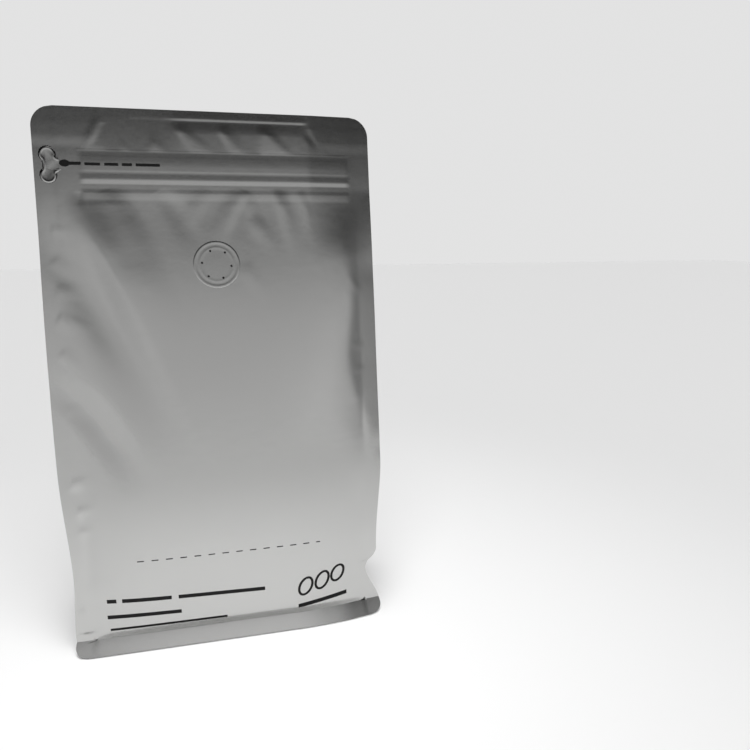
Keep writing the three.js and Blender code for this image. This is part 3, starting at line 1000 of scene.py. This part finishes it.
def inkMaterial(name, tone):
    material, tree, shader = nodeMaterial(name)
    place = tree.nodes.new("ShaderNodeTexCoord")
    speckle = between(tree, noise(tree, place, *inkLook["speckle"]),
                      tone * inkLook["darkest"], tone * inkLook["lightest"])
    colour = tree.nodes.new("ShaderNodeCombineColor")
    for n in range(3):
        link(tree, speckle, colour.inputs[n])
    link(tree, colour.outputs[0], shader.inputs["Base Color"])
    shader.inputs["Roughness"].default_value = inkLook["rough"]
    shader.inputs["Specular IOR Level"].default_value = inkLook["specular"]
    return material


film = silverFilm("satin silver film", rough=0.21, bumpShare=1.0)
stripFilm = silverFilm("satin silver film of the strip", rough=0.22, bumpShare=0.8)
blackInk = inkMaterial("black ink", tone=0.008)
greyInk = inkMaterial("grey ink", tone=0.05)

for piece in [frontPanel, backPanel, basePanel] + gussets:
    piece.data.materials.clear()
    piece.data.materials.append(film)
    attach(piece, "root")
    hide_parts("pouch")
for piece, node in ((zipStrip, "zip_strip"), (pullTab, "pull_tab"), (valveDisc, "degassing_valve")):
    piece.data.materials.clear()
    piece.data.materials.append(stripFilm)
    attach(piece, "root")
    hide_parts(node)
for piece, material in ((dashPrint, greyInk), (barPrint, blackInk)):
    piece.data.materials.clear()
    piece.data.materials.append(material)
    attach(piece, "root")

# floor, light and camera
studio = {
    "floor": 6.0, "floorTone": 0.80, "floorRough": 0.9,
    "backdrop": 0.765,  # what is seen above the floor
    # brightness of what the film mirrors, by height: 0 straight down, 0.5 level, 1 straight up
    "bands": [(0.0, 1.15), (0.50, 0.70), (0.60, 0.63), (0.665, 0.60), (0.702, 0.55),
              (0.726, 0.046), (0.78, 0.023), (0.95, 0.035), (0.985, 0.80), (1.0, 0.92)],
    # changes along X and Z: from, to, value before, value after
    "brighterRight": (0.08, 0.24, 1.0, 1.16), "darkerFarRight": (0.25, 0.57, 0.0, -0.8),
    "darkerFarLeft": (-0.9, -0.4, 0.65, 1.0),
    "rightShadeX": (0.12, 0.27, 0.0, 0.66), "rightShadeZ": (0.29, 0.36, 0.0, 1.0),
    "leftShadeX": (-0.42, -0.14, 0.62, 0.0), "leftShadeZ": (0.24, 0.36, 0.0, 1.0),
}
sunLight = {"energy": 2.9, "spread": 55, "at": (0.3, -0.8, 1.5), "turn": (28, 0, 12)}
poolLight = {"energy": 27, "at": (0.0, -0.07, 1.2), "cone": 27, "blend": 1.0, "size": 0.2}
view = {"at": (0.0090, -0.2972, 0.1979), "towards": (0.2158, 0.9470, -0.2378),
        "sensor": 36, "lens": 28.8, "near": 0.01}

fresh()
bpy.ops.mesh.primitive_plane_add(size=studio["floor"], location=(0, 0, 0))
floor = bpy.context.active_object
floor.name = "floor"
material, tree, shader = nodeMaterial("pale floor")
shader.inputs["Base Color"].default_value = (studio["floorTone"],) * 3 + (1,)
shader.inputs["Roughness"].default_value = studio["floorRough"]
floor.data.materials.append(material)

world = bpy.data.worlds.new("studio")
scene.world = world
world.use_nodes = True
sky = world.node_tree


def softStep(source, low, high, before, after):  # a soft change along one axis
    change = sky.nodes.new("ShaderNodeMapRange")
    change.interpolation_type = "SMOOTHSTEP"
    for socket, value in zip(("From Min", "From Max", "To Min", "To Max"), (low, high, before, after)):
        change.inputs[socket].default_value = value
    link(sky, source, change.inputs["Value"])
    return change.outputs["Result"]


def combine(a, b, operation):
    joined = sky.nodes.new("ShaderNodeMath")
    joined.operation = operation
    for n, value in enumerate((a, b)):
        if isinstance(value, float):
            joined.inputs[n].default_value = value
        else:
            link(sky, value, joined.inputs[n])
    return joined.outputs[0]


place = sky.nodes.new("ShaderNodeTexCoord")
axes = sky.nodes.new("ShaderNodeSeparateXYZ")
link(sky, place.outputs["Generated"], axes.inputs[0])
axisX, axisZ = axes.outputs["X"], axes.outputs["Z"]
height = sky.nodes.new("ShaderNodeMapRange")
height.inputs["From Min"].default_value = -1
link(sky, axisZ, height.inputs["Value"])
band = sky.nodes.new("ShaderNodeValToRGB")
band.color_ramp.interpolation = "EASE"
while len(band.color_ramp.elements) < len(studio["bands"]):
    band.color_ramp.elements.new(0.5)
for element, (where, tone) in zip(band.color_ramp.elements, studio["bands"]):
    element.position = where
    element.color = (tone, tone, tone, 1)
link(sky, height.outputs["Result"], band.inputs["Fac"])
toRight = combine(softStep(axisX, *studio["brighterRight"]),
                  softStep(axisX, *studio["darkerFarRight"]), "ADD")
toLeft = softStep(axisX, *studio["darkerFarLeft"])
rightShade = combine(softStep(axisX, *studio["rightShadeX"]),
                     softStep(axisZ, *studio["rightShadeZ"]), "MULTIPLY")
leftShade = combine(softStep(axisX, *studio["leftShadeX"]),
                    softStep(axisZ, *studio["leftShadeZ"]), "MULTIPLY")
lit = combine(band.outputs["Color"], combine(toRight, toLeft, "MULTIPLY"), "MULTIPLY")
for shadeOver in (rightShade, leftShade):
    lit = combine(lit, combine(1.0, shadeOver, "SUBTRACT"), "MULTIPLY")
seen = sky.nodes.new("ShaderNodeLightPath")
mix = sky.nodes.new("ShaderNodeMix")
mix.data_type = "FLOAT"
link(sky, seen.outputs["Is Camera Ray"], mix.inputs[0])
link(sky, lit, mix.inputs[2])
mix.inputs[3].default_value = studio["backdrop"]
link(sky, mix.outputs[0], sky.nodes["Background"].inputs["Color"])

fresh()
bpy.ops.object.light_add(type="SUN", location=sunLight["at"],
                         rotation=[math.radians(angle) for angle in sunLight["turn"]])
sun = bpy.context.active_object
sun.data.energy = sunLight["energy"]
sun.data.angle = math.radians(sunLight["spread"])
sun.visible_glossy = False

bpy.ops.object.light_add(type="SPOT", location=poolLight["at"])  # a soft pool round the bag
pool = bpy.context.active_object
pool.data.energy = poolLight["energy"]
pool.data.spot_size = math.radians(poolLight["cone"])
pool.data.spot_blend = poolLight["blend"]
pool.data.shadow_soft_size = poolLight["size"]
pool.visible_glossy = False

bpy.ops.object.camera_add()
camera = bpy.context.active_object
camera.name = "camera"
camera.data.sensor_width = view["sensor"]
camera.data.lens = view["lens"]
camera.data.clip_start = view["near"]
camera.location = view["at"]
camera.rotation_mode = "QUATERNION"
camera.rotation_quaternion = Vector(view["towards"]).normalized().to_track_quat("-Z", "Y")
scene.camera = camera
scene.view_settings.view_transform = "Standard"
print("stage made")
